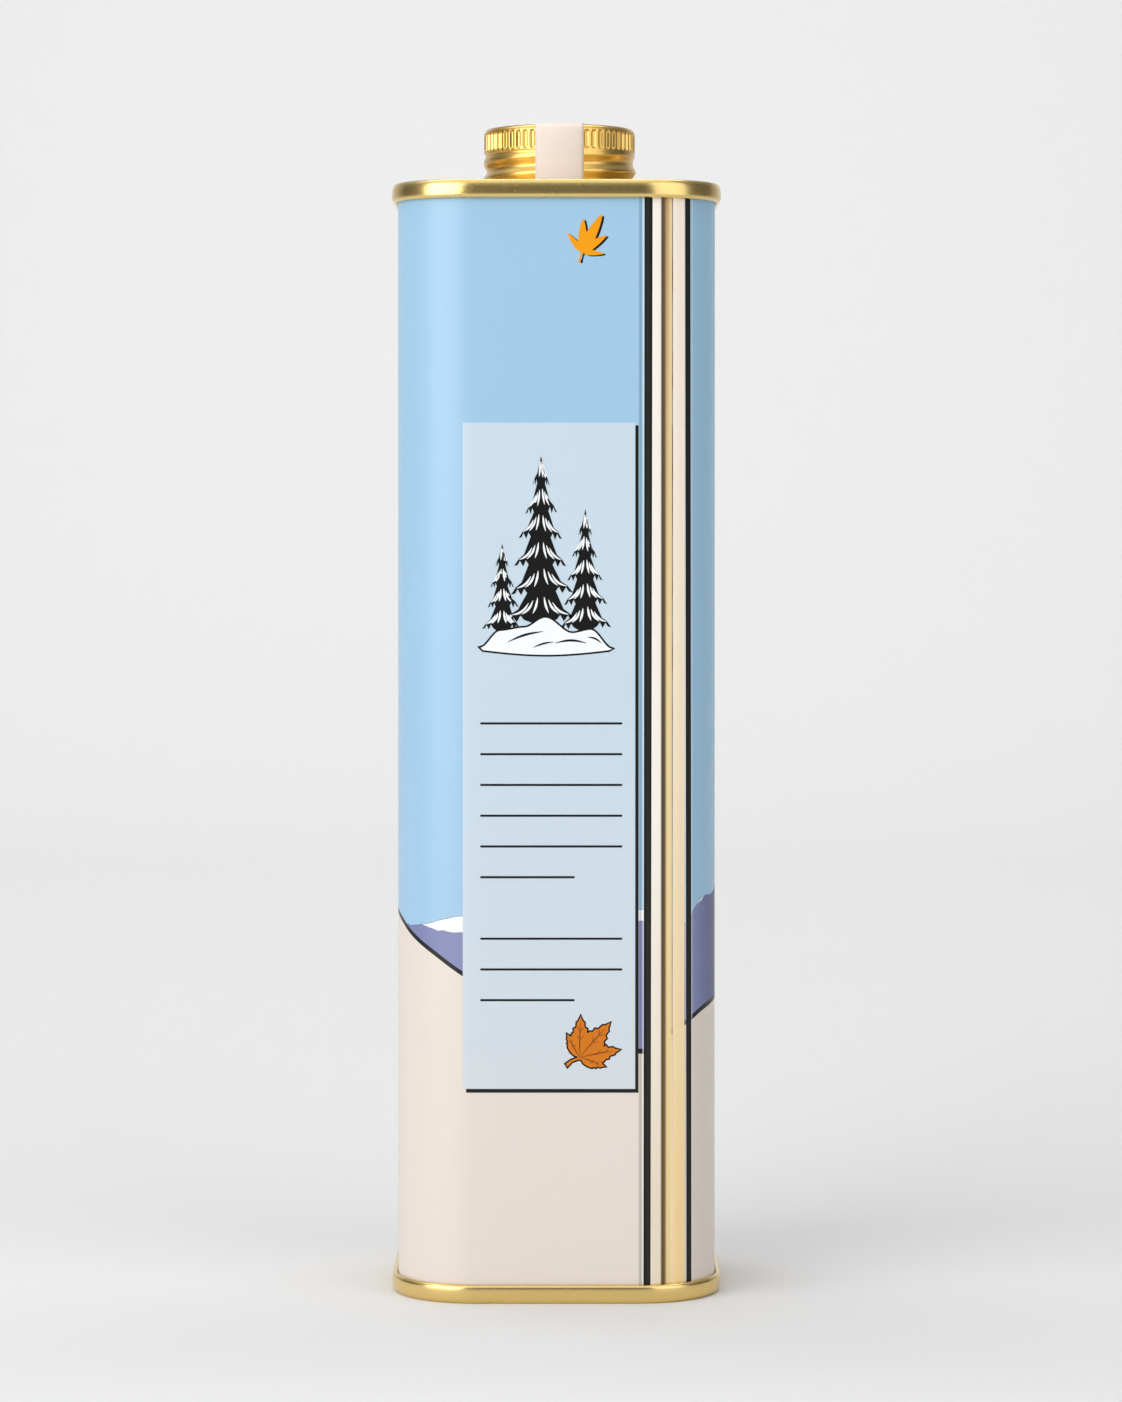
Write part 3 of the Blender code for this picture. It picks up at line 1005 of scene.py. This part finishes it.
end_gold = lacquer("gold_lacquer", linear(236, 206, 134), linear(228, 197, 124), 0.26, 0.6)
cap_gold = lacquer("cap_gold", linear(230, 192, 108), linear(222, 182, 96), 0.3, 0.5)
for piece in (lid_end, foot_end, neck):
    piece.data.materials.append(end_gold)
cap.data.materials.append(cap_gold)
print("lacquers:", end_gold.name, cap_gold.name)


# %% Paper
def paper():
    material, shader, wire = start_finish("seal_paper")
    fibre = noise(wire, 0.35, 4.0, 0.65)
    cloud = noise(wire, 5.0, 2.0)
    base = wire.blend(cloud, linear(228, 215, 206), linear(221, 207, 197))
    base = base.mix(linear(214, 200, 190), (fibre - 0.5) * 0.5)
    connect(shader, Base_Color=base, Roughness=0.6 + (fibre - 0.5) * 0.2, Normal=bump(wire, fibre, 0.02))
    return material


seal.data.materials.append(paper())
print("paper:", seal.data.materials[0].name)

# %% [markdown]
# ## Inks
# Each ink film gets its ink: nearly black, white or orange, under the same varnish as the sheet. Solid
# ink is never quite even, so a fine grain and a soft cloud change its strength a little.


# %% Inks
def ink(name, colour, thin_colour, varnish=0.28):
    material, shader, wire = start_finish(name)
    cloud = noise(wire, 4.0, 3.0)
    grain = noise(wire, 0.25, 2.0)
    base = wire.blend(cloud * 0.6 + grain * 0.4, colour, thin_colour)
    connect(
        shader,
        Base_Color=base,
        Roughness=0.42 + (grain - 0.5) * 0.08,
        Specular_IOR_Level=0.22,
        Coat_Weight=varnish,
        Coat_Roughness=0.24,
        Normal=bump(wire, noise(wire, 0.9), 0.004),
    )
    return material


black_ink = ink("black_ink", linear(5, 5, 6), linear(9, 9, 10), 0.08)
white_ink_finish = ink("white_ink", linear(236, 238, 240), linear(226, 230, 234))
orange_ink = ink("orange_ink", linear(206, 119, 0), linear(194, 104, 0))
yellow_ink = ink("yellow_ink", linear(232, 154, 0), linear(226, 144, 0))
edge_ink = ink("edge_ink", linear(8, 6, 5), linear(14, 9, 6), 0.08)
vein_ink = ink("vein_ink", linear(104, 40, 8), linear(122, 52, 12))
line_ink = ink("line_ink", linear(10, 12, 14), linear(18, 20, 23), 0.08)
for pieces, finish in (
    (dark_ink, black_ink),
    (white_ink, white_ink_finish),
    ((small_shade,), black_ink),
    ((leaf_fill,), orange_ink),
    ((small_fill,), yellow_ink),
    ((leaf_edge,), edge_ink),
    ((leaf_veins,), vein_ink),
    ((ruled_lines,), line_ink),
):
    for piece in pieces:
        piece.data.materials.append(finish)
    print(finish.name, "on", len(pieces), "pieces")

# %% [markdown]
# ## Studio
# A pale sweep runs under the tin and up behind it, so that there is no horizon. A large soft light
# stands on the left and a weaker one on the right, one hangs above, and one washes the wall. The room
# behind the camera stays dim, which is what gives metal its dark middle and bright edges. The tin's
# colours and this light were set together, to match one photo.


# %% Sweep, light and camera
ROOM = 0.55  # brightness of the room around
# each lamp: name, place, what it points at, width, height, watts
LAMPS = (
    ("window_left", (-760, -760, 330), (0, 0, 110), 1000, 1250, 12.8),
    ("fill_right", (650, -640, 300), (0, 0, 120), 820, 1250, 3.9),
    ("top_soft", (-150, -100, 1200), (0, 0, 100), 1700, 1400, 4.4),
    ("wall_wash", (0, 500, 1700), (0, 1600, 750), 1800, 500, 18.3),
)


def build_sweep():
    bend_radius, back, front, side, wall = 700, 900, -1400, 2600, 1000
    profile = [(front, 0), (0, 0), (back, 0)]
    profile += arc((back, bend_radius), bend_radius, -90, 0, 24)[1:]
    profile.append((back + bend_radius, wall))
    points = [(x, y, z) for y, z in profile for x in (-side, side)]
    faces = [(2 * row, 2 * row + 1, 2 * row + 3, 2 * row + 2) for row in range(len(profile) - 1)]
    mesh = bpy.data.meshes.new("sweep")
    mesh.from_pydata([[c * MM for c in point] for point in points], [], faces)
    mesh.shade_smooth()
    sweep = bpy.data.objects.new("sweep", mesh)
    bpy.context.scene.collection.objects.link(sweep)
    material, shader, _ = start_finish("sweep_paper")
    connect(shader, Base_Color=(0.71, 0.71, 0.71, 1), Roughness=0.85)
    mesh.materials.append(material)
    return sweep


def soft_light(name, place, aim, width, height, watts):
    lamp = bpy.data.lights.new(name, "AREA")
    lamp.shape = "RECTANGLE"
    lamp.size, lamp.size_y = width * MM, height * MM
    lamp.energy = watts
    holder = bpy.data.objects.new(name, lamp)
    holder.location = [c * MM for c in place]
    direction = Vector(aim) - Vector(place)
    holder.rotation_euler = direction.to_track_quat("-Z", "Y").to_euler()
    bpy.context.scene.collection.objects.link(holder)
    return holder


def build_light():
    for lamp in LAMPS:
        soft_light(*lamp)
    print("lamps:", len(LAMPS))
    world = bpy.data.worlds.new("room")
    bpy.context.scene.world = world
    world.use_nodes = True
    wire = Wire(world.node_tree)
    look = wire.node("ShaderNodeTexCoord", output=0)

    def toward(x, y, z, start, end):
        """1 for directions near that one, fading to 0 away from it."""
        length = math.sqrt(x * x + y * y + z * z)
        facing = wire.node(
            "ShaderNodeVectorMath",
            {"operation": "DOT_PRODUCT"},
            {0: look, 1: (x / length, y / length, z / length)},
            output=1,
        )
        low, high = math.cos(math.radians(start)), math.cos(math.radians(end))
        return ((facing - low) / (high - low)).clamped()

    camera_side = toward(0, -1, -0.1, 55, 20)
    left_side = toward(-1, 0.25, 0, 46, 20)
    right_side = toward(1, 0.1, 0, 66, 30)
    behind = toward(0, 0.8, 0.6, 34, 16)
    strength = ROOM * (1 - camera_side * 0.88) * (1 - left_side * 0.75)
    strength = strength * (1 - right_side * 0.75) * (1 - behind * 0.7)
    background = world.node_tree.nodes["Background"]
    world.node_tree.links.new(strength.socket, background.inputs["Strength"])
    background.inputs["Color"].default_value = (1, 1, 1, 1)


FOCAL_PX, FRAME_W, FRAME_H = 4261.0, 1122, 1402
EYE_PX = (556.5, 498.0)  # the point of the picture that the camera looks straight at
PITCH_DOWN = math.radians(0.7)
DISTANCE, EYE_HEIGHT = 794.0, 145.6


def build_camera():
    lens = bpy.data.cameras.new("camera")
    lens.sensor_width = 36.0
    lens.lens = FOCAL_PX / FRAME_H * lens.sensor_width
    lens.shift_x = (FRAME_W / 2 - EYE_PX[0]) / FRAME_H
    lens.shift_y = (EYE_PX[1] - FRAME_H / 2) / FRAME_H + math.tan(PITCH_DOWN) * FOCAL_PX / FRAME_H
    lens.clip_start, lens.clip_end = 0.01, 20
    camera = bpy.data.objects.new("camera", lens)
    camera.location = (0.0, -DISTANCE * MM, EYE_HEIGHT * MM)
    camera.rotation_euler = (math.pi / 2 - PITCH_DOWN, 0, 0)
    bpy.context.scene.collection.objects.link(camera)
    bpy.context.scene.camera = camera
    bpy.context.scene.view_settings.view_transform = "Standard"
    print(f"camera: {lens.lens:.1f} mm, shift {lens.shift_x:.3f}, {lens.shift_y:.3f}")


build_sweep()
build_light()
build_camera()
